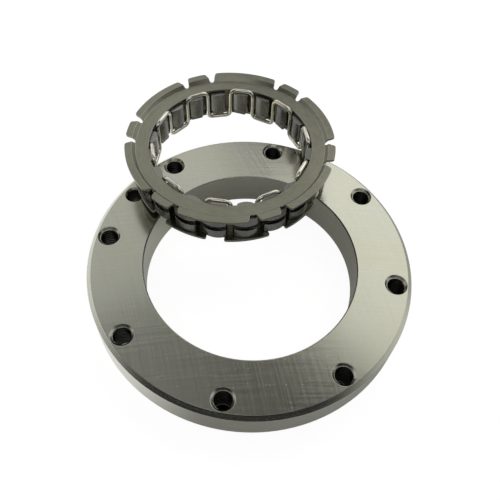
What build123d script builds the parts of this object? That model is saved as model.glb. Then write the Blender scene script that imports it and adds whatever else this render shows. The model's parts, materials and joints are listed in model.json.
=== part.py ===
from build123d import *
from math import cos, radians, sin, sqrt
import os

# Sprag clutch for an engine's starter drive, laid out before it is fitted: the thick outer race
# lies flat, and the caged set of sprags rests loosely on top of it, reaching over bore and rim.
#
# Frame: origin at the centre of the bore in the race's bottom face, +Z up along the bore.
# Lengths are in millimetres and angles in degrees; bearings turn about +Z from +X.

FULL_TURN = 360.0
TOUCHING = 0.01

# Outer race
RACE_BORE_RADIUS = 39.5
RACE_WALL = 20.5
RACE_HEIGHT = 15.0
RACE_RIM_CHAMFER = 1.6
RACE_BORE_CHAMFER = 0.4
BOLT_INSET = 6.0
BOLT_COUNT = 8
BOLT_BEARING = -5.2
TAPPED_HOLE_RADIUS = 3.4
TAPPED_MOUTH_CHAMFER = 0.8
DOWEL_BEARING = 152.3
DOWEL_HOLE_RADIUS = 3.0
DOWEL_MOUTH_CHAMFER = 0.6

# Set of sprags, shared by the cage, the sprags and their spring
SPRAG_COUNT = 20
FIRST_SPRAG_BEARING = 14.7
SPRAG_PITCH = FULL_TURN / SPRAG_COUNT

# Cage: a stamped channel with two flanges and a windowed wall between them
SHEET = 0.9
CAGE_HEIGHT = 12.6
WALL_TO_BORE = 6.4
INNER_LIP = 1.4
CREASE_STANDOFF = 2.8
WINDOW_PLAY = 0.7
TAB_RISE = 1.4
TAB_RAMP = 1.3
TAB_OVERLAP = 1.3
TAB_CORNER_CUT = 0.5
LOWER_FLANGE_CLEARANCE = 0.75
LOWER_GAP_ANGLE = 10.0
LOWER_GAP_STANDOFF = 1.5
NOTCH_PAIRS = 6
NOTCH_PAIR_BEARING = -3.8
NOTCH_HALF_SPREAD = 8.6
NOTCH_ROOT_WIDTH = 2.3
NOTCH_MOUTH_WIDTH = 5.4

# Sprags
SPRAG_END_CLEARANCE = 0.3
SPRAG_LEAN = 8.0
SPRAG_BORE_GAP = 1.5
SPRAG_NOSE = 2.4
OUTER_HEAD_WIDTH = 9.2
OUTER_FACE_CURVE = 0.924
OUTER_CHEEK = 0.85
INNER_HEAD_WIDTH = 6.2
INNER_FACE_CURVE = 1.048
INNER_CHEEK = 1.86
NECK_WIDTH = 4.4
SHOULDER_SLOPE = 24.0
CAM_OFFSET = 0.4
SPRAG_CORNER_CUT = 0.4
GROOVE_WIDTH = 2.4
GROOVE_DEPTH = 1.5
FOOT_HEIGHT = 1.8
FOOT_DEPTH = 2.25
FOOT_WIDTH = 4.8
FOOT_SETBACK = 0.4

# Spring: a closed wire that weaves between the sprags' inner heads
WIRE_DIAMETER = 1.6
WIRE_SIDES = 8
BEND_CHORDS = 3
WIRE_CLEARANCE = 0.3
UPPER_LOOP_RADIUS = 2.6
LOWER_LOOP_RADIUS = 1.8
UPPER_STANDOFF = 1.4
LOWER_STANDOFF = 0.95

# Where the set of sprags lies on the race: it overhangs the rim and tips over that way
CAGE_OVERHANG = 15.2
CAGE_SHIFT_BEARING = 105.2
CAGE_TILT = 3.4
CAGE_TILT_BEARING = 116.0
REST_CLEARANCE = 0.3

# Sizes that follow from those above
RACE_OUTER_RADIUS = RACE_BORE_RADIUS + RACE_WALL
BOLT_CIRCLE_RADIUS = RACE_OUTER_RADIUS - BOLT_INSET
WALL_INNER_RADIUS = RACE_BORE_RADIUS - WALL_TO_BORE
WALL_OUTER_RADIUS = WALL_INNER_RADIUS + SHEET
FLANGE_INNER_RADIUS = WALL_INNER_RADIUS - INNER_LIP
CREASE_RADIUS = WALL_OUTER_RADIUS + CREASE_STANDOFF
LOWER_GAP_ROOT_RADIUS = WALL_OUTER_RADIUS + LOWER_GAP_STANDOFF
WINDOW_WIDTH = NECK_WIDTH + 2 * WINDOW_PLAY
TAB_RADIUS = RACE_BORE_RADIUS + TAB_OVERLAP
LOWER_FLANGE_RADIUS = RACE_BORE_RADIUS - LOWER_FLANGE_CLEARANCE
CHANNEL_HEIGHT = CAGE_HEIGHT - 2 * SHEET
PIVOT_RADIUS = WALL_INNER_RADIUS + SHEET / 2
SPRAG_LENGTH = CHANNEL_HEIGHT - 2 * SPRAG_END_CLEARANCE
SPRAG_OUTER_REACH = RACE_BORE_RADIUS - SPRAG_BORE_GAP
SPRAG_INNER_REACH = FLANGE_INNER_RADIUS - SPRAG_NOSE
OUTER_FACE_RADIUS = OUTER_HEAD_WIDTH * OUTER_FACE_CURVE
INNER_FACE_RADIUS = INNER_HEAD_WIDTH * INNER_FACE_CURVE
WIRE_RADIUS = WIRE_DIAMETER / 2
SPRING_RADIUS = FLANGE_INNER_RADIUS - WIRE_CLEARANCE - WIRE_RADIUS
CAGE_SHIFT = RACE_OUTER_RADIUS - CAGE_OVERHANG
CUT_MARGIN = 1.0


def at_bearing(radius, bearing, height=0.0):
    """A point on a circle about the local axis."""
    return Vector(radius * cos(radians(bearing)), radius * sin(radians(bearing)), height)


def sprag_bearings():
    """Bearings of the sprags, in order round the cage."""
    return [FIRST_SPRAG_BEARING + SPRAG_PITCH * index for index in range(SPRAG_COUNT)]


def tilted_plane(height):
    """The cage's frame at a height: origin in the lower flange's underside, z along its axis."""
    slope = radians(CAGE_TILT)
    normal = at_bearing(sin(slope), CAGE_TILT_BEARING, cos(slope))
    return Plane(at_bearing(CAGE_SHIFT, CAGE_SHIFT_BEARING, height), (1, 0, 0), normal)


def loop_underside(bearing, steps=12):
    """Lowest line of one lower loop of the spring, in the cage's frame: straight, turned up at its ends."""
    half_pitch = SPRAG_PITCH / 2
    bend = LOWER_LOOP_RADIUS + WIRE_RADIUS
    points = []
    for step in range(-steps, steps + 1):
        offset = half_pitch * step / steps
        radius = SPRING_RADIUS * cos(radians(half_pitch)) / cos(radians(offset))
        into_bend = LOWER_LOOP_RADIUS - SPRING_RADIUS * radians(half_pitch - abs(offset))
        rise = bend - sqrt(bend**2 - max(into_bend, 0) ** 2)
        points.append(at_bearing(radius, bearing + offset, rise - LOWER_STANDOFF))
    return points


def cage_plane():
    """The cage's frame where the tilted set lies on the race, just clear of its face all round."""
    underside = [point for bearing in sprag_bearings()[1::2] for point in loop_underside(bearing)]
    for bearing in range(int(FULL_TURN)):
        underside.append(at_bearing(FLANGE_INNER_RADIUS, bearing))
        underside.append(at_bearing(LOWER_FLANGE_RADIUS, bearing))
    face_radius = RACE_OUTER_RADIUS - RACE_RIM_CHAMFER
    drops = []
    for point in map(tilted_plane(0).from_local_coords, underside):
        radius = sqrt(point.X**2 + point.Y**2)
        if RACE_BORE_RADIUS < radius < RACE_OUTER_RADIUS:
            drops.append(-point.Z - max(radius - face_radius, 0))
    return tilted_plane(RACE_HEIGHT + REST_CLEARANCE + max(drops))


def countersunk_hole(radius, mouth_chamfer):
    """Cutter for a round hole through the race, with its mouth countersunk in the top face."""
    drill = Cylinder(radius, RACE_HEIGHT, align=(Align.CENTER, Align.CENTER, Align.MIN))
    mouth = Pos(0, 0, RACE_HEIGHT - mouth_chamfer) * Cone(
        radius, radius + mouth_chamfer, mouth_chamfer, align=(Align.CENTER, Align.CENTER, Align.MIN)
    )
    return drill + mouth


def make_outer_race():
    """Thick ring with a ground bore, a circle of tapped holes and one dowel hole."""
    plan = Circle(RACE_OUTER_RADIUS) - Circle(RACE_BORE_RADIUS)
    blank = extrude(plan, RACE_HEIGHT)
    race = chamfer(blank.edges().filter_by(GeomType.CIRCLE).group_by(SortBy.RADIUS)[-1], RACE_RIM_CHAMFER)
    race = chamfer(race.edges().filter_by(GeomType.CIRCLE).group_by(SortBy.RADIUS)[0], RACE_BORE_CHAMFER)
    tapped_hole = countersunk_hole(TAPPED_HOLE_RADIUS, TAPPED_MOUTH_CHAMFER)
    for index in range(BOLT_COUNT):
        bearing = BOLT_BEARING + FULL_TURN * index / BOLT_COUNT
        race -= Pos(at_bearing(BOLT_CIRCLE_RADIUS, bearing)) * tapped_hole
    dowel_hole = countersunk_hole(DOWEL_HOLE_RADIUS, DOWEL_MOUTH_CHAMFER)
    return race - Pos(at_bearing(BOLT_CIRCLE_RADIUS, DOWEL_BEARING)) * dowel_hole


def upper_flange_blank():
    """Flat annulus that climbs over a joggle to the raised locating rim, as a full ring."""
    top = CAGE_HEIGHT
    under = CAGE_HEIGHT - SHEET
    ramp_end = CREASE_RADIUS + TAB_RAMP
    profile = Polyline(
        (FLANGE_INNER_RADIUS, under),
        (CREASE_RADIUS, under),
        (ramp_end, under + TAB_RISE),
        (TAB_RADIUS, under + TAB_RISE),
        (TAB_RADIUS, top + TAB_RISE),
        (ramp_end, top + TAB_RISE),
        (CREASE_RADIUS, top),
        (FLANGE_INNER_RADIUS, top),
        close=True,
    )
    return revolve(Plane.XZ * make_face(profile), Axis.Z)


def notch(outer_radius):
    """Plan of one notch on the +X side: a round root that opens towards the rim."""
    root_radius = NOTCH_ROOT_WIDTH / 2
    root_centre = CREASE_RADIUS + root_radius
    mouth = outer_radius + CUT_MARGIN
    flare = Polyline(
        (root_centre, -root_radius),
        (mouth, -NOTCH_MOUTH_WIDTH / 2),
        (mouth, NOTCH_MOUTH_WIDTH / 2),
        (root_centre, root_radius),
        close=True,
    )
    return make_face(flare) + Pos(root_centre, 0) * Circle(root_radius)


def lower_gap():
    """Plan of one gap between two lower tabs, on the +X side: straight flanks, square root."""
    half_width = LOWER_FLANGE_RADIUS * sin(radians(LOWER_GAP_ANGLE / 2))
    length = LOWER_FLANGE_RADIUS + CUT_MARGIN - LOWER_GAP_ROOT_RADIUS
    return Pos(LOWER_GAP_ROOT_RADIUS + length / 2, 0) * Rectangle(length, 2 * half_width)


def notched_plate(outer_radius, cut, bearings):
    """Plan of a flange: a disc with the same cut at each bearing and bevelled tab corners."""
    plan = Circle(outer_radius)
    for bearing in bearings:
        plan -= Rot(0, 0, bearing) * cut
    rim_corners = plan.vertices().filter_by(
        lambda corner: abs(sqrt(corner.X**2 + corner.Y**2) - outer_radius) < TOUCHING and corner.Y != 0
    )
    return chamfer(rim_corners, TAB_CORNER_CUT)


def notch_bearings():
    """The notches come in pairs, each pair with a narrow tab between its two notches."""
    pair_centres = [NOTCH_PAIR_BEARING + FULL_TURN * index / NOTCH_PAIRS for index in range(NOTCH_PAIRS)]
    return [centre + side * NOTCH_HALF_SPREAD for centre in pair_centres for side in (-1, 1)]


def make_cage():
    """Stamped cage: joggled and notched upper flange, gapped lower flange, windowed wall."""
    upper_plan = notched_plate(TAB_RADIUS, notch(TAB_RADIUS), notch_bearings())
    upper = upper_flange_blank() & extrude(upper_plan, CAGE_HEIGHT + TAB_RISE)
    loops = sprag_bearings()[::2]
    lower_plan = notched_plate(LOWER_FLANGE_RADIUS, lower_gap(), loops) - Circle(FLANGE_INNER_RADIUS)
    lower = extrude(lower_plan, SHEET)
    wall_plan = Circle(WALL_OUTER_RADIUS) - Circle(WALL_INNER_RADIUS)
    window = Pos(PIVOT_RADIUS, 0) * Rectangle(2 * SHEET, WINDOW_WIDTH)
    for bearing in sprag_bearings():
        wall_plan -= Rot(0, 0, bearing) * window
    pillars = extrude(Pos(0, 0, SHEET) * wall_plan, CHANNEL_HEIGHT)
    return upper + lower + pillars


def head_plan(width, reach, face_radius, cheek):
    """Plan of one head of a sprag, pointing along +Y: sloped shoulders and a cylindrical face."""
    half_neck = NECK_WIDTH / 2
    half_width = width / 2
    lower_edge = reach - face_radius + sqrt(face_radius**2 - (half_width + CAM_OFFSET) ** 2)
    shoulder = lower_edge - cheek
    base = shoulder - (half_width - half_neck) * sin(radians(SHOULDER_SLOPE))
    blank = Polyline(
        (-half_neck, 0),
        (half_neck, 0),
        (half_neck, base),
        (half_width, shoulder),
        (half_width, reach),
        (-half_width, reach),
        (-half_width, shoulder),
        (-half_neck, base),
        close=True,
    )
    return make_face(blank) & (Pos(CAM_OFFSET, reach - face_radius) * Circle(face_radius))


def sprag_plan():
    """Cross-section of a sprag about its rocking centre, outer head towards +Y."""
    outer_reach = SPRAG_OUTER_REACH - PIVOT_RADIUS
    inner_reach = PIVOT_RADIUS - SPRAG_INNER_REACH
    outer = head_plan(OUTER_HEAD_WIDTH, outer_reach, OUTER_FACE_RADIUS, OUTER_CHEEK)
    inner = head_plan(INNER_HEAD_WIDTH, inner_reach, INNER_FACE_RADIUS, INNER_CHEEK)
    plan = outer + Rot(0, 0, 180) * inner
    by_height = plan.vertices().sort_by(Axis.Y)
    return chamfer(by_height[:2] + by_height[-2:], SPRAG_CORNER_CUT)


def foot_cut():
    """Plan of what the inner head loses at its lower end, where it narrows to a foot."""
    head_reach = PIVOT_RADIUS - SPRAG_INNER_REACH
    head = Pos(0, -head_reach) * Rectangle(2 * INNER_HEAD_WIDTH, 2 * FOOT_DEPTH)
    return head - Rectangle(FOOT_WIDTH, 2 * (head_reach - FOOT_SETBACK))


def make_sprag():
    """One sprag about its rocking centre: a groove across its outer face, a foot below its inner head."""
    body = extrude(sprag_plan(), SPRAG_LENGTH)
    crest = SPRAG_OUTER_REACH - PIVOT_RADIUS
    groove = Pos(0, crest, SPRAG_LENGTH / 2) * Box(2 * OUTER_HEAD_WIDTH, 2 * GROOVE_DEPTH, GROOVE_WIDTH)
    return body - groove - extrude(foot_cut(), FOOT_HEIGHT)


def place_sprag(sprag, bearing):
    """Set a sprag upright in its window, leaning by the angle that its spring gives it."""
    floor = SHEET + SPRAG_END_CLEARANCE
    return Pos(at_bearing(PIVOT_RADIUS, bearing, floor)) * Rot(0, 0, bearing - 90 - SPRAG_LEAN) * sprag


def loop_corners():
    """Corners of the spring in order, each with the radius of its bend."""
    high = CAGE_HEIGHT + UPPER_STANDOFF - WIRE_RADIUS
    low = WIRE_RADIUS - LOWER_STANDOFF
    below, above = (low, LOWER_LOOP_RADIUS), (high, UPPER_LOOP_RADIUS)
    corners = []
    for index, bearing in enumerate(sprag_bearings()):
        for height, bend in (below, above) if index % 2 == 0 else (above, below):
            corners.append((at_bearing(SPRING_RADIUS, bearing - SPRAG_PITCH / 2, height), bend))
    return corners


def bend_points(before, corner, after, bend):
    """Points of a square bend in order, on its arc, with a straight chord from each to the next."""
    inward, outward = (corner - before).normalized(), (after - corner).normalized()
    centre = corner + (outward - inward) * bend
    points = []
    for index in range(BEND_CHORDS + 1):
        turn = radians(90) * index / BEND_CHORDS
        points.append(centre + inward * (bend * sin(turn)) - outward * (bend * cos(turn)))
    return points


def make_spring():
    """Closed meander wire: loops over every second sprag and under the ones between."""
    corners = loop_corners()
    points = []
    for index, (corner, bend) in enumerate(corners):
        before = corners[index - 1][0]
        after = corners[(index + 1) % len(corners)][0]
        points += bend_points(before, corner, after, bend)
    path = Wire(Polyline(*points, close=True).edges())
    section = Plane(origin=path @ 0, z_dir=path % 0) * RegularPolygon(WIRE_RADIUS, WIRE_SIDES)
    return sweep(section, path=path, transition=Transition.RIGHT)


def build_nodes():
    """Every piece in its place, by node name."""
    plane = cage_plane()
    sprag = make_sprag()
    nodes = {
        "outer_race": make_outer_race(),
        "sprag_cage": plane.location * make_cage(),
        "meander_spring": plane.location * make_spring(),
    }
    for number, bearing in enumerate(sprag_bearings(), start=1):
        nodes[f"sprag_{number:02d}"] = plane.location * place_sprag(sprag, bearing)
    return nodes


os.makedirs("parts", exist_ok=True)
for name, solid in build_nodes().items():
    export_step(solid, f"parts/{name}.step")
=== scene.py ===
"""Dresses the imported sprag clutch: its steels, the threads in its tapped holes, studio and camera.

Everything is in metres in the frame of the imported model. The race lies on the floor and the caged
set of sprags lies tilted on the race.
"""

from __future__ import annotations

import json
import logging
import math
from dataclasses import dataclass, field
from enum import Enum
from typing import ClassVar, Optional, Sequence, Union

import bpy
from mathutils import Matrix, Vector

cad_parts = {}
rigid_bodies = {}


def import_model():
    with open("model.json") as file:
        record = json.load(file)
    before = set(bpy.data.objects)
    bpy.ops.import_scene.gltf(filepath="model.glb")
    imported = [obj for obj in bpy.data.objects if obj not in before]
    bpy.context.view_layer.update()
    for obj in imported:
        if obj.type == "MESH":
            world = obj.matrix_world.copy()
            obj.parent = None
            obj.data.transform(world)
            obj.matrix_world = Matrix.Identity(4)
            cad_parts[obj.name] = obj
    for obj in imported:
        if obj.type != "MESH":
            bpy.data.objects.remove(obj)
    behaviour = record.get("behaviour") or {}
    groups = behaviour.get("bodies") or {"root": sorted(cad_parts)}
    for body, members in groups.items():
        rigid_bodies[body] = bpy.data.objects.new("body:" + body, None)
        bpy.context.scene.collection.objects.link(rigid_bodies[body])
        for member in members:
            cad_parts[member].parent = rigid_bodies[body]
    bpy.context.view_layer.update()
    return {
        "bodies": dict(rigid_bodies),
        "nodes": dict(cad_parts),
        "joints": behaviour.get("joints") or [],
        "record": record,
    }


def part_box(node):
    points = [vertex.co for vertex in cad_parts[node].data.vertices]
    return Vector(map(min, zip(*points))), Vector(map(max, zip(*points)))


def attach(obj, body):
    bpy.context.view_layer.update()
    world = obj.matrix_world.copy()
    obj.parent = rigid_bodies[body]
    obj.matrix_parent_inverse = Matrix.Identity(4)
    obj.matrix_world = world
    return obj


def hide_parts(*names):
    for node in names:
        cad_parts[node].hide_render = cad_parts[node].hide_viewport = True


LOG = logging.getLogger("sprag_clutch")

Color = tuple[float, float, float]
Socket = bpy.types.NodeSocket
Value = Union[float, Sequence[float], Socket]

MM = 0.001


class Slot(Enum):
    """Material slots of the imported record."""

    RACE = "race_steel"
    CAGE = "cage_steel"
    SPRAG = "sprag_steel"
    SPRING = "spring_wire"


class Body(Enum):
    """Bodies that pieces ride on."""

    RACE = "outer_race"
    CAGE = "cage_set"


@dataclass(frozen=True)
class CageFrame:
    """Where the tilted cage stands in the clutch's frame.

    Attributes:
        origin: Centre of the cage, halfway up.
        turn: Rotation that takes the cage's own axes to the clutch's.
    """

    origin: Vector
    turn: Matrix

    @classmethod
    def of(cls, joints: list[dict]) -> "CageFrame":
        """Works out the frame from the sprags' pivots.

        Args:
            joints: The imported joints, whose hinges stand round the cage along its axis.

        Returns:
            The cage's frame, its X axis level with the clutch's.
        """
        hinges = [joint for joint in joints if joint["type"] == "hinge"]
        origin = sum((Vector(hinge["pos_m"]) for hinge in hinges), Vector()) / len(hinges)
        up = Vector(hinges[0]["axis"]).normalized()
        across = Vector((1.0, 0.0, 0.0))
        across = (across - up * across.dot(up)).normalized()
        return cls(origin, Matrix((across, up.cross(across), up)).transposed())


@dataclass(frozen=True)
class Fade:
    """A change from one number to another along a line.

    Attributes:
        start: Where it starts.
        end: Where it ends.
        first: The number at its start.
        last: The number at its end.
    """

    start: float
    end: float
    first: float = 0.0
    last: float = 1.0


class Graph:
    """Adds nodes to one node tree and links them."""

    def __init__(self, tree: bpy.types.NodeTree) -> None:
        """Keeps the tree.

        Args:
            tree: The node tree that nodes are added to.
        """
        self.tree = tree

    def add(self, kind: str, **settings: object) -> bpy.types.Node:
        """Adds a node.

        Args:
            kind: The node's type name without the ShaderNode prefix.
            **settings: Properties to set on the node.

        Returns:
            The new node.
        """
        node = self.tree.nodes.new(f"ShaderNode{kind}")
        for name, value in settings.items():
            setattr(node, name, value)
        return node

    def feed(self, socket: Socket, value: Value) -> None:
        """Links a socket to another, or sets its own value.

        Args:
            socket: The input to feed.
            value: An output socket, a number or a list of numbers.
        """
        if isinstance(value, bpy.types.NodeSocket):
            self.tree.links.new(value, socket)
        elif socket.type == "RGBA" and len(value) == 3:
            socket.default_value = (*value, 1.0)
        else:
            socket.default_value = value

    def math(self, operation: str, *values: Value, clamp: bool = False) -> Socket:
        """Adds a Math node.

        Args:
            operation: The node's operation.
            *values: Its inputs in order.
            clamp: Whether the result is kept between 0 and 1.

        Returns:
            The result.
        """
        node = self.add("Math", operation=operation, use_clamp=clamp)
        for socket, value in zip(node.inputs, values):
            self.feed(socket, value)
        return node.outputs[0]

    def vector(self, operation: str, *values: Value) -> Socket:
        """Adds a Vector Math node.

        Args:
            operation: The node's operation.
            *values: Its inputs in order.

        Returns:
            The vector, or the number where the operation gives one.
        """
        node = self.add("VectorMath", operation=operation)
        for socket, value in zip(node.inputs, values):
            self.feed(socket, value)
        scalar = operation in ("DOT_PRODUCT", "LENGTH", "DISTANCE")
        return node.outputs["Value" if scalar else "Vector"]

    def split(self, vector: Value) -> tuple[Socket, Socket, Socket]:
        """Splits a vector.

        Args:
            vector: The vector.

        Returns:
            Its three parts.
        """
        node = self.add("SeparateXYZ")
        self.feed(node.inputs[0], vector)
        return tuple(node.outputs)

    def join(self, *parts: Value) -> Socket:
        """Returns a vector made of three numbers."""
        node = self.add("CombineXYZ")
        for socket, value in zip(node.inputs, parts):
            self.feed(socket, value)
        return node.outputs[0]

    def noise(self, vector: Value, scale: float, detail: float = 3.0, rough: float = 0.5) -> Socket:
        """Adds a noise texture.

        Args:
            vector: Where it is read.
            scale: Its scale.
            detail: How many finer layers it has.
            rough: How strong the finer layers are.

        Returns:
            The noise, about 0.5.
        """
        node = self.add("TexNoise")
        self.feed(node.inputs["Vector"], vector)
        node.inputs["Scale"].default_value = scale
        node.inputs["Detail"].default_value = detail
        node.inputs["Roughness"].default_value = rough
        return node.outputs["Fac"]

    def remap(self, value: Value, low: float, high: float, to_low: float = 0.0,
              to_high: float = 1.0, smooth: bool = False) -> Socket:
        """Maps a range of numbers onto another and clamps it.

        Args:
            value: The number to map.
            low: Where the first range starts.
            high: Where the first range ends.
            to_low: Where the second range starts.
            to_high: Where the second range ends.
            smooth: Whether the ends are eased.

        Returns:
            The mapped number.
        """
        node = self.add("MapRange", interpolation_type="SMOOTHSTEP" if smooth else "LINEAR")
        for socket, item in zip(node.inputs, (value, low, high, to_low, to_high)):
            self.feed(socket, item)
        return node.outputs[0]

    def fade(self, value: Value, fade: Fade, scale: float = 1.0) -> Socket:
        """Reads a fade, with eased ends.

        Args:
            value: Where along its line it is read.
            fade: The fade.
            scale: What its start and end are counted in.

        Returns:
            The number there.
        """
        return self.remap(value, fade.start * scale, fade.end * scale, fade.first, fade.last, smooth=True)

    def blend(self, factor: Value, first: Value, second: Value) -> Socket:
        """Mixes two numbers.

        Args:
            factor: Share of the second number.
            first: The first number.
            second: The second number.

        Returns:
            The mixed number.
        """
        node = self.add("Mix", data_type="FLOAT")
        for name, value in (("Factor", factor), ("A", first), ("B", second)):
            self.feed(node.inputs[name], value)
        return node.outputs[0]

    def mix(self, factor: Value, first: Value, second: Value, blend: str = "MIX") -> Socket:
        """Mixes two colours.

        Args:
            factor: Share of the second colour.
            first: The first colour.
            second: The second colour.
            blend: How they are blended.

        Returns:
            The mixed colour.
        """
        node = self.add("Mix", data_type="RGBA", blend_type=blend)
        self.feed(node.inputs["Factor"], factor)
        colors = [s for s in node.inputs if s.type == "RGBA"]
        self.feed(colors[0], first)
        self.feed(colors[1], second)
        return next(s for s in node.outputs if s.type == "RGBA")

    def group(self, tree: bpy.types.NodeTree, **values: Value) -> bpy.types.Node:
        """Places a node group.

        Args:
            tree: The group's tree.
            **values: Its inputs, with underscores for the spaces in their names.

        Returns:
            The group node.
        """
        node = self.add("Group", node_tree=tree)
        for name, value in values.items():
            self.feed(node.inputs[name.replace("_", " ")], value)
        return node


@dataclass(frozen=True)
class Port:
    """One named input or output of a node group.

    Attributes:
        name: The socket's name.
        kind: Float, Vector or Color.
        default: Its value where nothing is linked.
    """

    name: str
    kind: str = "Float"
    default: Optional[float] = None


class Effect:
    """A node group that more than one steel uses."""

    title = "effect"
    takes: tuple[Port, ...] = ()
    gives: tuple[Port, ...] = ()

    def build(self) -> bpy.types.NodeTree:
        """Makes the group once.

        Returns:
            The group's tree.
        """
        if self.title in bpy.data.node_groups:
            return bpy.data.node_groups[self.title]
        tree = bpy.data.node_groups.new(self.title, "ShaderNodeTree")
        for ports, way in ((self.takes, "INPUT"), (self.gives, "OUTPUT")):
            for port in ports:
                socket = tree.interface.new_socket(
                    port.name, in_out=way, socket_type=f"NodeSocket{port.kind}")
                if port.default is not None:
                    socket.default_value = port.default
        graph = Graph(tree)
        inside = tree.nodes.new("NodeGroupInput")
        outside = tree.nodes.new("NodeGroupOutput")
        for name, value in self.wire(graph, inside).items():
            graph.feed(outside.inputs[name], value)
        return tree

    def wire(self, graph: Graph, inside: bpy.types.Node) -> dict[str, Socket]:
        """Adds the group's nodes.

        Args:
            graph: The group's graph.
            inside: The group's input node.

        Returns:
            The sockets that feed its outputs, by name.
        """
        raise NotImplementedError


class EdgeWearAndHighlight(Effect):
    """Finds edges, and rounds them by a hair in the normal; its mask lays the burnished colour that also
    paints highlights along the edges.
    """

    title = "edge_wear_and_highlight"
    takes = (Port("Radius", default=0.2 * MM), Port("Reach", default=0.05))
    gives = (Port("Mask"), Port("Normal", "Vector"))
    samples = 6

    def wire(self, graph: Graph, inside: bpy.types.Node) -> dict[str, Socket]:
        """Compares the rounded normal with the plain one.

        Args:
            graph: The group's graph.
            inside: The group's input node.

        Returns:
            The edge mask and the rounded normal.
        """
        bevel = graph.add("Bevel", samples=self.samples)
        graph.feed(bevel.inputs["Radius"], inside.outputs["Radius"])
        plain = graph.add("NewGeometry").outputs["Normal"]
        along = graph.vector("DOT_PRODUCT", bevel.outputs[0], plain)
        bend = graph.math("SUBTRACT", 1.0, along)
        mask = graph.math("DIVIDE", bend, inside.outputs["Reach"], clamp=True)
        return {"Mask": mask, "Normal": bevel.outputs[0]}


class RingSpace(Effect):
    """Turns a place into how far it is round a centre, out from it and above it."""

    title = "ring_space"
    takes = (Port("Vector", "Vector"), Port("Centre", "Vector"))
    gives = (Port("Vector", "Vector"), Port("Radius"))

    def wire(self, graph: Graph, inside: bpy.types.Node) -> dict[str, Socket]:
        """Works out radius, arc length and height.

        Args:
            graph: The group's graph.
            inside: The group's input node.

        Returns:
            The vector (out, round, up) and the radius alone.
        """
        place = graph.vector("SUBTRACT", inside.outputs["Vector"], inside.outputs["Centre"])
        x, y, z = graph.split(place)
        radius = graph.vector("LENGTH", graph.join(x, y, 0.0))
        arc = graph.math("MULTIPLY", graph.math("ARCTAN2", y, x), radius)
        return {"Vector": graph.join(radius, arc, z), "Radius": radius}


class Hairlines(Effect):
    """Fine lines that run along the second axis of the vector, as a grinding wheel leaves."""

    title = "hairlines"
    takes = (Port("Vector", "Vector"), Port("Across", default=1800.0), Port("Along", default=30.0))
    gives = (Port("Lines"), Port("Scores"))
    score_stretch = (0.45, 0.4, 0.45)
    score_depth = (0.70, 0.80)

    def wire(self, graph: Graph, inside: bpy.types.Node) -> dict[str, Socket]:
        """Stretches noise into lines, and picks the deepest as scores.

        Args:
            graph: The group's graph.
            inside: The group's input node.

        Returns:
            Lines about 0.5, and scores from 0 to 1.
        """
        across, along = inside.outputs["Across"], inside.outputs["Along"]
        stretched = graph.vector(
            "MULTIPLY", inside.outputs["Vector"], graph.join(across, along, across))
        lines = graph.noise(stretched, 1.0, detail=4.0, rough=0.65)
        sparse = graph.vector("MULTIPLY", stretched, self.score_stretch)
        scores = graph.remap(graph.noise(sparse, 1.0, detail=1.0), *self.score_depth)
        return {"Lines": lines, "Scores": scores}


class Mottle(Effect):
    """Soft uneven patches, as handling and an oily film leave."""

    title = "mottle"
    takes = (Port("Vector", "Vector"), Port("Size", default=20.0 * MM))
    gives = (Port("Patches"), Port("Specks"))
    patch = Fade(0.35, 0.65)
    speck_scale = 24.0
    speck_depth = (0.64, 0.74)

    def wire(self, graph: Graph, inside: bpy.types.Node) -> dict[str, Socket]:
        """Layers broad noise and fine specks.

        Args:
            graph: The group's graph.
            inside: The group's input node.

        Returns:
            Patches from 0 to 1, and specks from 0 to 1.
        """
        scaled = graph.add("VectorMath", operation="SCALE")
        graph.feed(scaled.inputs[0], inside.outputs["Vector"])
        graph.feed(scaled.inputs["Scale"], graph.math("DIVIDE", 1.0, inside.outputs["Size"]))
        patches = graph.fade(graph.noise(scaled.outputs[0], 1.0, 4.0), self.patch)
        specks = graph.remap(graph.noise(scaled.outputs[0], self.speck_scale, 2.0), *self.speck_depth)
        return {"Patches": patches, "Specks": specks}


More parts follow.
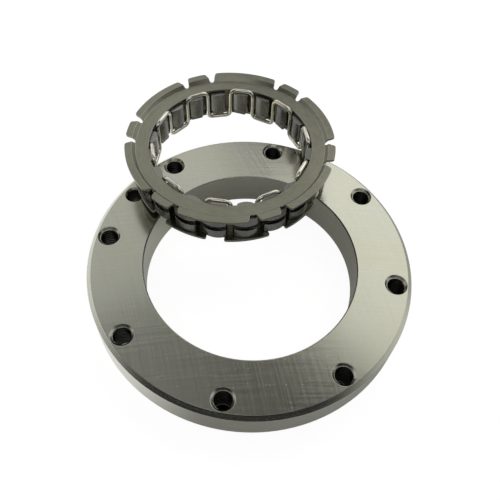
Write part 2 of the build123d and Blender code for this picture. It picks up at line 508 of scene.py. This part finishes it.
@dataclass(frozen=True)
class Steel:
    """A bare steel finish. Each kind of piece has its own subclass.

    Attributes:
        slot: The record's slot that it dresses.
        base: Colour of the clean metal.
        film: Colour where the oily film lies.
        edge: Colour of burnished edges, lighter than the metal, which also paints highlights along them.
        roughness: Its mean roughness.
        swing: How far the marks move the roughness.
        relief: Height of the marks.
        edge_radius: Radius of the broken edges.
        shade_color: Colour of the painted shade that stands for the shade falling into its holes and
            grooves.
        MARK_SPAN: Where the marks count as deepest and highest.
        MARK_SHADE: How far they darken and lighten the colour.
        FILM_SIZE: How wide the patches of oil film are.
        FILM_SHARE: How much of the film's colour shows.
        SPECK_ROUGHNESS: How much rougher the specks are.
        EDGE_SHARE: How much of the edges' colour shows.
        SCORE_POLISH: How much smoother the scores are.
        SCORE_HEIGHT: How far the scores lie under the marks.
        BUMP_STRENGTH: How strongly the marks bend the light.
    """

    MARK_SPAN: ClassVar[tuple[float, float]] = (0.3, 0.7)
    MARK_SHADE: ClassVar[tuple[float, float]] = (0.86, 1.08)
    FILM_SIZE: ClassVar[float] = 18.0 * MM
    FILM_SHARE: ClassVar[float] = 0.7
    SPECK_ROUGHNESS: ClassVar[float] = 0.06
    EDGE_SHARE: ClassVar[float] = 0.6
    SCORE_POLISH: ClassVar[float] = 0.03
    SCORE_HEIGHT: ClassVar[float] = -0.1
    BUMP_STRENGTH: ClassVar[float] = 0.35

    slot: Slot
    base: Color
    film: Color
    edge: Color
    roughness: float
    swing: float
    relief: float
    edge_radius: float
    # Colour of the painted shade laid where hollows fall into shade.
    shade_color: Color = (0.02, 0.02, 0.016)

    def marks(self, graph: Graph, place: Socket, facing: Socket,
              cage: CageFrame) -> tuple[Socket, Socket]:
        """Makes the tool marks of this steel.

        Args:
            graph: The material's graph.
            place: Object coordinates.
            facing: The surface normal in the object's axes.
            cage: Where the cage stands.

        Returns:
            Marks about 0.5, and scores from 0 to 1.
        """
        raise NotImplementedError

    def painted_shade(self, graph: Graph, place: Socket, cage: CageFrame) -> Value:
        """Returns how much painted shade lies on the steel, which is none on most."""
        return 0.0

    def build(self, cage: CageFrame) -> bpy.types.Material:
        """Makes the material.

        Args:
            cage: Where the cage stands.

        Returns:
            The material, named for its slot.
        """
        material = bpy.data.materials.new(self.slot.value)
        material.use_nodes = True
        material.node_tree.nodes.clear()
        graph = Graph(material.node_tree)
        where = graph.add("TexCoord")
        place, facing = where.outputs["Object"], where.outputs["Normal"]
        marks, scores = self.marks(graph, place, facing, cage)
        edges = graph.group(EdgeWearAndHighlight().build(), Radius=self.edge_radius)
        film = graph.group(Mottle().build(), Vector=place, Size=self.FILM_SIZE)
        color = self._color(graph, marks, edges.outputs["Mask"], film.outputs["Patches"])
        # Painted shade: the shade colour is laid where the steel's hollows fall into shade.
        color = graph.mix(self.painted_shade(graph, place, cage), color, self.shade_color)
        smooth, coarse = self.roughness - self.swing, self.roughness + self.swing
        rough = graph.remap(marks, *self.MARK_SPAN, smooth, coarse)
        rough = graph.math("SUBTRACT", rough, graph.math("MULTIPLY", scores, self.SCORE_POLISH))
        specks = graph.math("MULTIPLY", film.outputs["Specks"], self.SPECK_ROUGHNESS)
        rough = graph.math("ADD", rough, specks, clamp=True)
        height = graph.math("ADD", marks, graph.math("MULTIPLY", scores, self.SCORE_HEIGHT))
        bump = graph.add("Bump")
        bump.inputs["Strength"].default_value = self.BUMP_STRENGTH
        bump.inputs["Distance"].default_value = self.relief
        graph.feed(bump.inputs["Height"], height)
        graph.feed(bump.inputs["Normal"], edges.outputs["Normal"])
        shader = graph.add("BsdfPrincipled")
        shader.inputs["Metallic"].default_value = 1.0
        graph.feed(shader.inputs["Base Color"], color)
        graph.feed(shader.inputs["Roughness"], rough)
        graph.feed(shader.inputs["Normal"], bump.outputs[0])
        graph.feed(graph.add("OutputMaterial").inputs["Surface"], shader.outputs[0])
        return material

    def _color(self, graph: Graph, marks: Socket, edge: Socket, patches: Socket) -> Socket:
        """Colours the metal, its oily film, its marks and its burnished edges, whose lighter colour also
        paints highlights along them.

        Args:
            graph: The material's graph.
            marks: The tool marks, about 0.5.
            edge: Where the edges are.
            patches: Where the film lies.

        Returns:
            The colour.
        """
        color = graph.mix(graph.math("MULTIPLY", patches, self.FILM_SHARE), self.base, self.film)
        shade = graph.remap(marks, *self.MARK_SPAN, *self.MARK_SHADE)
        color = graph.mix(1.0, color, graph.join(shade, shade, shade), "MULTIPLY")
        # Burnished edges: their lighter colour is partly real wear and partly a painted highlight along
        # each edge.
        return graph.mix(graph.math("MULTIPLY", edge, self.EDGE_SHARE), color, self.edge)


@dataclass(frozen=True)
class GroundSteel(Steel):
    """Ground faces with crossing wheel marks, and turned walls with lines round them.

    Attributes:
        wheel_centres: Centres of the grinding wheel's sweeps, in metres.
        sweep_shares: How strong each sweep is.
        turned_stretch: Scale of the turned lines out from the axis, round it and along it.
        level: How far a face may tilt before it counts as turned.
        hole_ring: Radii inside and outside the ring of screw holes, in metres.
        shade_depth: Heights between which the painted shade in the holes fades in, in metres.
        shade_foot: Height over the seat where the painted shade ends, in metres.
        shade_share: How much of the painted shade's colour shows.
    """

    wheel_centres: tuple[tuple[float, float, float], ...] = ((0.06, -0.42, 0.0), (-0.36, -0.16, 0.0))
    sweep_shares: tuple[float, float] = (0.55, 0.45)
    turned_stretch: tuple[float, float, float] = (0.2, 0.4, 1.6)
    level: tuple[float, float] = (0.75, 0.9)
    hole_ring: tuple[float, float] = (45.0 * MM, 58.5 * MM)
    shade_depth: tuple[float, float] = (14.35 * MM, 13.75 * MM)
    shade_foot: float = 0.2 * MM
    shade_share: float = 0.94

    def painted_shade(self, graph: Graph, place: Socket, cage: CageFrame) -> Value:
        """Paints shade on the walls of the holes below their countersinks, blackening them.

        Args:
            graph: The material's graph.
            place: Object coordinates.
            cage: Where the cage stands.

        Returns:
            The share of painted shade.
        """
        radius = graph.group(RingSpace().build(), Vector=place).outputs["Radius"]
        height = graph.split(place)[2]
        near, far = self.hole_ring
        # Painted shade: blackens the hole walls, which lie in shade.
        among = graph.math("MULTIPLY", graph.math("GREATER_THAN", radius, near),
                           graph.math("LESS_THAN", radius, far))
        deep = graph.math("MULTIPLY", graph.remap(height, *self.shade_depth),
                          graph.math("GREATER_THAN", height, self.shade_foot))
        return graph.math("MULTIPLY", among, graph.math("MULTIPLY", deep, self.shade_share))

    def marks(self, graph: Graph, place: Socket, facing: Socket,
              cage: CageFrame) -> tuple[Socket, Socket]:
        """Crosses two sweeps of a grinding wheel on the flats and turns the walls.

        Args:
            graph: The material's graph.
            place: Object coordinates.
            facing: The surface normal in the object's axes.
            cage: Where the cage stands.

        Returns:
            Marks about 0.5, and scores from 0 to 1.
        """
        ring, lines = RingSpace().build(), Hairlines().build()
        sweeps = []
        for centre in self.wheel_centres:
            swept = graph.group(ring, Vector=place, Centre=centre)
            sweeps.append(graph.group(lines, Vector=swept.outputs["Vector"]))
        parts = [graph.math("MULTIPLY", sweep.outputs["Lines"], share)
                 for sweep, share in zip(sweeps, self.sweep_shares)]
        flat = graph.math("ADD", *parts)
        around = graph.group(ring, Vector=place).outputs["Vector"]
        turned = graph.group(lines, Vector=graph.vector("MULTIPLY", around, self.turned_stretch))
        up = graph.math("ABSOLUTE", graph.split(facing)[2])
        level = graph.remap(up, *self.level)
        scores = graph.math("MAXIMUM", *(sweep.outputs["Scores"] for sweep in sweeps))
        return graph.blend(level, turned.outputs["Lines"], flat), graph.math("MULTIPLY", scores, level)


@dataclass(frozen=True)
class CagedSteel(Steel):
    """A steel of the caged set, whose marks follow the cage's own axis.

    Attributes:
        stretch: Scale of the marks out from the axis, round it and along it.
    """

    stretch: tuple[float, float, float] = (1.0, 1.0, 1.0)

    def in_cage(self, graph: Graph, place: Socket, cage: CageFrame) -> Socket:
        """Reads a place in the cage's own ring.

        Args:
            graph: The material's graph.
            place: Object coordinates.
            cage: Where the cage stands.

        Returns:
            How far it is out from the cage's axis, round it and above its middle.
        """
        local = graph.add("Mapping", vector_type="TEXTURE")
        graph.feed(local.inputs["Vector"], place)
        local.inputs["Location"].default_value = cage.origin
        local.inputs["Rotation"].default_value = cage.turn.to_euler()
        return graph.group(RingSpace().build(), Vector=local.outputs[0]).outputs["Vector"]

    def marks(self, graph: Graph, place: Socket, facing: Socket,
              cage: CageFrame) -> tuple[Socket, Socket]:
        """Lays the marks in the cage's own ring.

        Args:
            graph: The material's graph.
            place: Object coordinates.
            facing: The surface normal in the object's axes.
            cage: Where the cage stands.

        Returns:
            Marks about 0.5, and scores from 0 to 1.
        """
        ring = self.in_cage(graph, place, cage)
        scaled = graph.vector("MULTIPLY", ring, self.stretch)
        lines = graph.group(Hairlines().build(), Vector=scaled, Across=1.0, Along=1.0)
        return lines.outputs["Lines"], lines.outputs["Scores"]


@dataclass(frozen=True)
class SpragSteel(CagedSteel):
    """The sprags' dark polished steel, with painted shade blackening the groove of each outer head.

    Attributes:
        groove_half: Half the groove's height, in metres.
        groove_from: Radius about the cage's axis that the groove lies beyond, in metres.
        shade_share: How much of the painted shade's colour shows.
    """

    groove_half: float = 1.17 * MM
    groove_from: float = 35.0 * MM
    shade_share: float = 0.93

    def painted_shade(self, graph: Graph, place: Socket, cage: CageFrame) -> Value:
        """Paints shade into the groove, blackening it.

        Args:
            graph: The material's graph.
            place: Object coordinates.
            cage: Where the cage stands.

        Returns:
            The share of painted shade.
        """
        # Painted shade: blackens the groove round each outer head, which lies in shade.
        out, _, up = graph.split(self.in_cage(graph, place, cage))
        band = graph.math("LESS_THAN", graph.math("ABSOLUTE", up), self.groove_half)
        return graph.math("MULTIPLY", graph.math("MULTIPLY", band, self.shade_share),
                          graph.math("GREATER_THAN", out, self.groove_from))


RACE_STEEL = GroundSteel(
    slot=Slot.RACE, base=(0.60, 0.60, 0.52), film=(0.57, 0.575, 0.465), edge=(0.72, 0.72, 0.68),
    roughness=0.21, swing=0.06, relief=0.012 * MM, edge_radius=0.18 * MM)
CAGE_STEEL = CagedSteel(
    slot=Slot.CAGE, base=(0.295, 0.292, 0.232), film=(0.262, 0.262, 0.2), edge=(0.66, 0.66, 0.60),
    roughness=0.33, swing=0.05, relief=0.012 * MM, edge_radius=0.26 * MM, stretch=(900.0, 420.0, 900.0))
SPRAG_STEEL = SpragSteel(
    slot=Slot.SPRAG, base=(0.30, 0.30, 0.285), film=(0.25, 0.25, 0.225), edge=(0.62, 0.62, 0.60),
    roughness=0.24, swing=0.06, relief=0.014 * MM, edge_radius=0.14 * MM, stretch=(2200.0, 2200.0, 60.0))
SPRING_STEEL = CagedSteel(
    slot=Slot.SPRING, base=(0.92, 0.90, 0.82), film=(0.90, 0.83, 0.62), edge=(0.92, 0.90, 0.84),
    roughness=0.14, swing=0.03, relief=0.003 * MM, edge_radius=0.05 * MM, stretch=(700.0, 700.0, 700.0))


@dataclass
class TappedThreads:
    """The screw threads inside the race's tapped holes.

    Attributes:
        pitch: Rise of the thread in one turn.
        depth: How far the crest stands in from the drilled wall.
        root_width: Height of the ridge where it meets the wall.
        crest_width: Height of the ridge at its crest.
        mouth: Depth of the countersink that the thread stops short of.
        first_bearing: Bearing of the first hole, in degrees.
        steps: Steps in one turn of the helix.
        sink: How far the ridge's root goes into the wall.
        smooth_angle: Edges blunter than this are shaded smooth, in degrees.
    """

    pitch: float = 1.25 * MM
    depth: float = 0.26 * MM
    root_width: float = 0.95 * MM
    crest_width: float = 0.2 * MM
    mouth: float = 0.75 * MM
    first_bearing: float = -5.2
    steps: int = 32
    sink: float = 0.03 * MM
    smooth_angle: float = 35.0

    def build(self, record: dict, thickness: float) -> list[bpy.types.Object]:
        """Makes one thread and copies it into each hole.

        Args:
            record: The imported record, whose bolt pattern gives the holes.
            thickness: The race's thickness.

        Returns:
            The threads.
        """
        pattern = next(m for m in record["mounts"] if m["kind"] == "bolt_pattern")["dims"]
        thread = self._helix(pattern["hole_r_mm"] * MM, thickness)
        count, circle = int(pattern["count"]), pattern["pcd_mm"] * MM / 2
        threads = []
        for number in range(count):
            bearing = math.radians(self.first_bearing + 360.0 * number / count)
            mesh = thread.data.copy()
            mesh.transform(Matrix.Translation((circle * math.cos(bearing), circle * math.sin(bearing), 0)))
            piece = bpy.data.objects.new(f"race_thread_{number + 1:02d}", mesh)
            bpy.context.scene.collection.objects.link(piece)
            threads.append(piece)
        bpy.data.objects.remove(thread)
        return threads

    def _helix(self, wall: float, thickness: float) -> bpy.types.Object:
        """Sweeps the ridge's profile up the hole and trims both ends.

        Args:
            wall: Radius of the drilled wall.
            thickness: The race's thickness.

        Returns:
            The thread about the Z axis.
        """
        bpy.ops.object.select_all(action="DESELECT")
        bpy.ops.mesh.primitive_plane_add(size=1.0, location=(0, 0, 0))
        thread = bpy.context.object
        root, crest = wall + self.sink, wall - self.depth
        corners = ((root, -self.root_width / 2), (crest, -self.crest_width / 2),
                   (root, self.root_width / 2), (crest, self.crest_width / 2))
        for vertex, (x, z) in zip(thread.data.vertices, corners):
            vertex.co = (x, 0.0, z)
        bpy.ops.object.mode_set(mode="EDIT")
        bpy.ops.mesh.select_all(action="SELECT")
        bpy.ops.mesh.delete(type="ONLY_FACE")
        bpy.ops.object.mode_set(mode="OBJECT")
        turns = int(thickness / self.pitch) + 2
        screw = thread.modifiers.new("sweep", "SCREW")
        screw.axis, screw.angle, screw.screw_offset = "Z", 2 * math.pi, self.pitch
        screw.iterations, screw.steps, screw.render_steps = turns, self.steps, self.steps
        screw.use_merge_vertices = False
        bpy.ops.object.modifier_apply(modifier=screw.name)
        thread.data.transform(Matrix.Translation((0, 0, -self.pitch)))
        bpy.ops.object.mode_set(mode="EDIT")
        for height, side in ((self.mouth, -1.0), (thickness - self.mouth, 1.0)):
            bpy.ops.mesh.select_all(action="SELECT")
            bpy.ops.mesh.bisect(plane_co=(0, 0, height), plane_no=(0, 0, side),
                                use_fill=True, clear_outer=True)
        bpy.ops.mesh.select_all(action="SELECT")
        bpy.ops.mesh.normals_make_consistent(inside=False)
        bpy.ops.object.mode_set(mode="OBJECT")
        bpy.ops.object.shade_smooth_by_angle(angle=math.radians(self.smooth_angle))
        return thread


@dataclass
class MeanderWire:
    """The round spring wire that runs over one sprag and under the next.

    Attributes:
        radius: How far its upright legs stand from the cage's axis.
        rise: How far its upper loops' centre line stands above the cage's middle.
        drop: How far its lower loops' centre line hangs below it.
        thickness: The wire's diameter.
        upper_bend: Bend radius of the upper loops' corners.
        lower_bend: Bend radius of the lower loops' corners.
        first_bearing: Bearing of the first leg that rises, in degrees.
        loops: How many upper loops it has.
        sides: Sides of its section.
        bend_steps: Steps in one bend.
        merge_share: Points closer than this share of the thickness are merged.
    """

    radius: float = 30.6 * MM
    rise: float = 6.9 * MM
    drop: float = 6.45 * MM
    thickness: float = 1.6 * MM
    upper_bend: float = 2.6 * MM
    lower_bend: float = 1.8 * MM
    first_bearing: float = 5.7
    loops: int = 10
    sides: int = 14
    bend_steps: int = 7
    merge_share: float = 0.01

    def build(self, cage: CageFrame) -> bpy.types.Object:
        """Bends one upper and one lower loop, repeats them round the cage and joins the ends.

        Args:
            cage: Where the cage stands.

        Returns:
            The wire.
        """
        leg = [self._corner(number) for number in range(3)]
        top = [foot + Vector((0.0, 0.0, self.rise)) for foot in leg]
        low = [foot - Vector((0.0, 0.0, self.drop)) for foot in leg]
        bpy.ops.object.select_all(action="DESELECT")
        bpy.ops.mesh.primitive_circle_add(vertices=self.sides, radius=self.thickness / 2,
                                          location=low[0] + Vector((0, 0, self.lower_bend)))
        wire = bpy.context.object
        wire.name = "meander_wire"
        bpy.ops.object.transform_apply(location=True, rotation=True, scale=True)
        bpy.ops.object.mode_set(mode="EDIT")
        self._run(low[0], top[0], self.lower_bend, self.upper_bend)
        self._bend(low[0], top[0], top[1], self.upper_bend)
        self._run(top[0], top[1], self.upper_bend, self.upper_bend)
        self._bend(top[0], top[1], low[1], self.upper_bend)
        self._run(top[1], low[1], self.upper_bend, self.lower_bend)
        self._bend(top[1], low[1], low[2], self.lower_bend)
        self._run(low[1], low[2], self.lower_bend, self.lower_bend)
        self._bend(low[1], low[2], top[2], self.lower_bend)
        bpy.ops.mesh.select_all(action="SELECT")
        share = (self.loops - 1) / self.loops
        bpy.ops.mesh.spin(steps=self.loops - 1, angle=2 * math.pi * share, dupli=True,
                          center=(0, 0, 0), axis=(0, 0, 1))
        bpy.ops.mesh.select_all(action="SELECT")
        bpy.ops.mesh.remove_doubles(threshold=self.thickness * self.merge_share)
        bpy.ops.mesh.normals_make_consistent(inside=False)
        bpy.ops.object.mode_set(mode="OBJECT")
        bpy.ops.object.shade_smooth()
        wire.data.transform(Matrix.Translation(cage.origin) @ cage.turn.to_4x4())
        return wire

    def _corner(self, number: int) -> Vector:
        """Returns the foot of one leg about the cage's own axis, at its middle height."""
        bearing = math.radians(self.first_bearing + 180.0 * number / self.loops)
        return Vector((self.radius * math.cos(bearing), self.radius * math.sin(bearing), 0.0))

    def _run(self, start: Vector, end: Vector, first_bend: float, last_bend: float) -> None:
        """Draws the open end of the wire straight on.

        Args:
            start: Corner that the run leaves.
            end: Corner that it comes to.
            first_bend: Bend radius at its start.
            last_bend: Bend radius at its end.
        """
        way = end - start
        length = way.length - first_bend - last_bend
        bpy.ops.mesh.extrude_region_move(
            TRANSFORM_OT_translate={"value": way.normalized() * length})

    def _bend(self, before: Vector, corner: Vector, after: Vector, bend: float) -> None:
        """Bends the open end of the wire square.

        Args:
            before: Corner that the wire comes from.
            corner: Corner that it turns at.
            after: Corner that it goes to.
            bend: Radius of the bend.
        """
        inward, outward = (corner - before).normalized(), (after - corner).normalized()
        bpy.ops.mesh.spin(steps=self.bend_steps, angle=math.pi / 2,
                          center=corner + (outward - inward) * bend, axis=-inward.cross(outward))


@dataclass(frozen=True)
class Softbox:
    """One large soft lamp.

    Attributes:
        name: Its name.
        bearing: Where it hangs, in degrees from +Y towards +X.
        elevation: How high it hangs, in degrees.
        width: Its width in metres.
        height: Its height in metres.
        radiance: How bright its face is, where 1 is white.
        color: The colour of its light.
    """

    name: str
    bearing: float
    elevation: float
    width: float
    height: float
    radiance: float
    color: Color = (1.0, 1.0, 1.0)


@dataclass
class Studio:
    """The pale floor, the room's dim light and the soft lamps.

    Attributes:
        boxes: The soft lamps.
        distance: How far the lamps hang from the clutch.
        room: Brightness of the room halfway up.
        wall: Brightness of its foot, from the wall in front to the wall at the back.
        wall_top: Where the foot of the walls ends, by the height of the line of sight.
        ceiling: Brightness of the ceiling, from left to right.
        ceiling_edge: Where the ceiling starts and where it is all ceiling, likewise.
        floor_size: Width of the floor.
        floor_drop: How far the floor lies under the race.
        floor_white: The floor's own white where the camera sees it.
        floor_shade: How much of the light and shade on the floor the camera sees.
        floor_color: How pale the floor is to everything but the camera.
        tuck: How far inside the race's rims the floor under it starts to be painted dark to the camera, as
            painted shade.
        outer_bounce: Brightness of the floor's painted glow round the race, seen only as a painted
            reflection in the metal, from its axis to its left, in radii of its rim.
        inner_bounce: The same inside its bore.
        far_bounce: The same further out, by the distance from the axis.
    """

    boxes: tuple[Softbox, ...] = (
        Softbox("lamp_right", 37.0, 46.0, 0.58, 0.58, 0.95, (1.0, 0.995, 0.95)),
        Softbox("lamp_left", -36.0, 41.5, 0.62, 0.60, 0.44, (0.985, 1.0, 0.975)),
        Softbox("lamp_back", -2.0, 38.0, 0.36, 0.40, 0.17),
        Softbox("lamp_front", 180.0, 58.0, 0.60, 0.30, 0.8),
    )
    distance: float = 0.8
    room: float = 0.176
    wall: Fade = Fade(-0.72, 0.0, 0.024, 0.60)
    wall_top: Fade = Fade(0.36, 0.60)
    ceiling: Fade = Fade(-0.14, 0.08, 0.24, 0.08)
    ceiling_edge: tuple[float, float] = (0.80, 0.92)
    floor_size: float = 6.0
    floor_drop: float = 0.05 * MM
    floor_white: float = 0.92
    floor_shade: float = 0.25
    floor_color: float = 0.80
    tuck: float = 1.7 * MM
    outer_bounce: Fade = Fade(-0.15, -0.88, 0.08, 0.68)
    inner_bounce: Fade = Fade(-0.3, -0.6, 0.06, 0.20)
    far_bounce: Fade = Fade(2.0, 3.0, 0.0, 0.6)

    def build(self, race_bore: float, race_rim: float) -> None:
        """Makes the floor, the world and the lamps.

        Args:
            race_bore: Radius of the race's bore.
            race_rim: Radius of the race's rim.
        """
        self._floor(race_bore, race_rim)
        self._world()
        for box in self.boxes:
            self._lamp(box)

    def _floor(self, race_bore: float, race_rim: float) -> None:
        """Lays the floor under the race.

        Args:
            race_bore: Radius of the race's bore.
            race_rim: Radius of the race's rim.
        """
        bpy.ops.object.select_all(action="DESELECT")
        bpy.ops.mesh.primitive_plane_add(size=self.floor_size, location=(0, 0, 0))
        floor = bpy.context.object
        floor.name = "studio_floor"
        floor.location.z = -self.floor_drop
        floor.data.materials.append(self._floor_material(race_bore, race_rim))

    def _floor_material(self, race_bore: float, race_rim: float) -> bpy.types.Material:
        """Makes the floor white to the camera, paints shade on it under the race where the camera sees it,
        and gives it an uneven painted glow that only the metal's reflections see.

        Args:
            race_bore: Radius of the race's bore.
            race_rim: Radius of the race's rim.

        Returns:
            The floor's material.
        """
        material = bpy.data.materials.new("studio_floor")
        material.use_nodes = True
        material.node_tree.nodes.clear()
        graph = Graph(material.node_tree)
        place = graph.add("TexCoord").outputs["Object"]
        radius = graph.group(RingSpace().build(), Vector=place).outputs["Radius"]
        covered = graph.math("MULTIPLY", graph.math("GREATER_THAN", radius, race_bore + self.tuck),
                             graph.math("LESS_THAN", radius, race_rim - self.tuck))
        rays = graph.add("LightPath")
        camera = rays.outputs["Is Camera Ray"]
        # Painted shade: under the race, the camera sees the floor black through the holes.
        seen = graph.math("MULTIPLY", camera, graph.math("SUBTRACT", 1.0, covered))
        across = graph.split(place)[0]
        near = graph.blend(graph.math("GREATER_THAN", radius, race_bore),
                           graph.fade(across, self.inner_bounce, race_rim),
                           graph.fade(across, self.outer_bounce, race_rim))
        # Painted reflection: the floor glows for glossy rays only, brighter to the race's left.
        bounce = graph.math("MAXIMUM", graph.fade(radius, self.far_bounce, race_rim), near)
        bounce = graph.math("MULTIPLY", rays.outputs["Is Glossy Ray"], bounce)
        white = graph.add("Emission")
        own = graph.math("MULTIPLY", seen, self.floor_white)
        graph.feed(white.inputs["Strength"], graph.math("ADD", own, bounce))
        unseen = graph.math("SUBTRACT", 1.0, camera)
        pale = graph.math("ADD", graph.math("MULTIPLY", unseen, self.floor_color),
                          graph.math("MULTIPLY", seen, self.floor_shade))
        matt = graph.add("BsdfDiffuse")
        graph.feed(matt.inputs["Color"], graph.join(pale, pale, pale))
        lit = graph.add("AddShader")
        graph.feed(lit.inputs[0], matt.outputs[0])
        graph.feed(lit.inputs[1], white.outputs[0])
        sided = graph.add("MixShader")
        graph.feed(sided.inputs[0], graph.add("NewGeometry").outputs["Backfacing"])
        graph.feed(sided.inputs[1], lit.outputs[0])
        graph.feed(sided.inputs[2], graph.add("BsdfTransparent").outputs[0])
        graph.feed(graph.add("OutputMaterial").inputs["Surface"], sided.outputs[0])
        return material

    def _world(self) -> None:
        """Makes a room, pale low down except in front, that the camera sees as white."""
        world = bpy.data.worlds.new("studio_room")
        bpy.context.scene.world = world
        world.use_nodes = True
        world.node_tree.nodes.clear()
        graph = Graph(world.node_tree)
        across, back_way, up = graph.split(graph.add("TexCoord").outputs["Generated"])
        ceiling = graph.fade(across, self.ceiling)
        high = graph.remap(up, *self.ceiling_edge, self.room, ceiling, smooth=True)
        room = graph.blend(graph.fade(up, self.wall_top), graph.fade(back_way, self.wall), high)
        camera = graph.add("LightPath").outputs["Is Camera Ray"]
        back = graph.add("Background")
        back.inputs["Color"].default_value = (1.0, 1.0, 1.0, 1.0)
        graph.feed(back.inputs["Strength"], graph.blend(camera, room, 1.0))
        graph.feed(graph.add("OutputWorld").inputs["Surface"], back.outputs[0])

    def _lamp(self, box: Softbox) -> None:
        """Hangs one soft lamp, facing the clutch.

        Args:
            box: The lamp to hang.
        """
        lamp = bpy.data.lights.new(box.name, "AREA")
        lamp.shape, lamp.size, lamp.size_y = "RECTANGLE", box.width, box.height
        lamp.energy = box.radiance * math.pi * box.width * box.height
        lamp.color = box.color
        bearing, elevation = math.radians(box.bearing), math.radians(box.elevation)
        way = Vector((math.sin(bearing) * math.cos(elevation),
                      math.cos(bearing) * math.cos(elevation), math.sin(elevation)))
        piece = bpy.data.objects.new(box.name, lamp)
        piece.location = way * self.distance
        piece.rotation_euler = way.to_track_quat("Z", "Y").to_euler()
        bpy.context.scene.collection.objects.link(piece)


@dataclass
class Viewpoint:
    """The camera, above and in front of the race.

    Attributes:
        place: Where it stands.
        aim: What it looks at.
        roll: How far it is turned about its line of sight, in radians.
        lens: Its focal length in millimetres.
        sensor: The width of its sensor in millimetres.
        clip: The nearest and the farthest that it sees.
    """

    place: tuple[float, float, float] = (0.0, -0.12105, 0.20998)
    aim: tuple[float, float, float] = (-0.00069, 0.00432, 0.015)
    roll: float = 0.0871
    lens: float = 44.606
    sensor: float = 36.0
    clip: tuple[float, float] = (0.01, 20.0)

    def build(self) -> None:
        """Makes the camera and gives it to the scene."""
        data = bpy.data.cameras.new("viewpoint")
        data.lens, data.sensor_width = self.lens, self.sensor
        data.clip_start, data.clip_end = self.clip
        back = (Vector(self.place) - Vector(self.aim)).normalized()
        right = Vector((0.0, 0.0, 1.0)).cross(back).normalized()
        above = back.cross(right)
        turned = right * math.cos(self.roll) + above * math.sin(self.roll)
        upright = back.cross(turned)
        camera = bpy.data.objects.new("viewpoint", data)
        axes = Matrix((turned, upright, back)).transposed().to_4x4()
        camera.matrix_world = Matrix.Translation(self.place) @ axes
        bpy.context.scene.collection.objects.link(camera)
        bpy.context.scene.camera = camera


@dataclass
class Dresser:
    """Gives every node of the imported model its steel.

    Attributes:
        finishes: The steels in the order that they are made.
    """

    finishes: tuple[Steel, ...] = (RACE_STEEL, CAGE_STEEL, SPRAG_STEEL, SPRING_STEEL)
    materials: dict[str, bpy.types.Material] = field(default_factory=dict)

    def build(self, frame: dict, cage: CageFrame) -> None:
        """Makes the steels and puts each into the slots of its nodes.

        Args:
            cage: Where the cage stands.
        """
        self.materials = {steel.slot.value: steel.build(cage) for steel in self.finishes}
        for part in frame["record"]["subparts"]:
            node = frame["nodes"][part["node"]]
            steel = self.materials[part["material_slot"]]
            if not node.material_slots:
                node.data.materials.append(steel)
            for slot in node.material_slots:
                slot.material = steel
            LOG.info("%s is %s", node.name, part["material_slot"])

    def dress(self, piece: bpy.types.Object, slot: Slot, body: Body) -> None:
        """Gives a new piece its steel, slot and body.

        Args:
            piece: The piece.
            slot: The slot that it takes its finish from.
            body: The body that it rides on.
        """
        piece.data.materials.clear()
        piece.data.materials.append(self.materials[slot.value])
        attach(piece, body.value)
        LOG.info("%s rides on %s", piece.name, body.value)


def main() -> None:
    """Builds the clutch's looks in order."""
    logging.basicConfig(level=logging.INFO)
    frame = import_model()
    bpy.context.scene.view_settings.view_transform = "Standard"
    cage = CageFrame.of(frame["joints"])
    dresser = Dresser()
    dresser.build(frame, cage)
    low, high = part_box("outer_race")
    for thread in TappedThreads().build(frame["record"], high.z - low.z):
        dresser.dress(thread, Slot.RACE, Body.RACE)
    wire = MeanderWire().build(cage)
    dresser.dress(wire, Slot.SPRING, Body.CAGE)
    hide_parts("meander_spring")
    bore = next(m for m in frame["record"]["mounts"] if m["name"] == "race_bore")
    Studio().build(bore["dims"]["r_mm"] * MM, high.x)
    Viewpoint().build()
    bpy.context.view_layer.update()


if __name__ == "__main__":
    main()
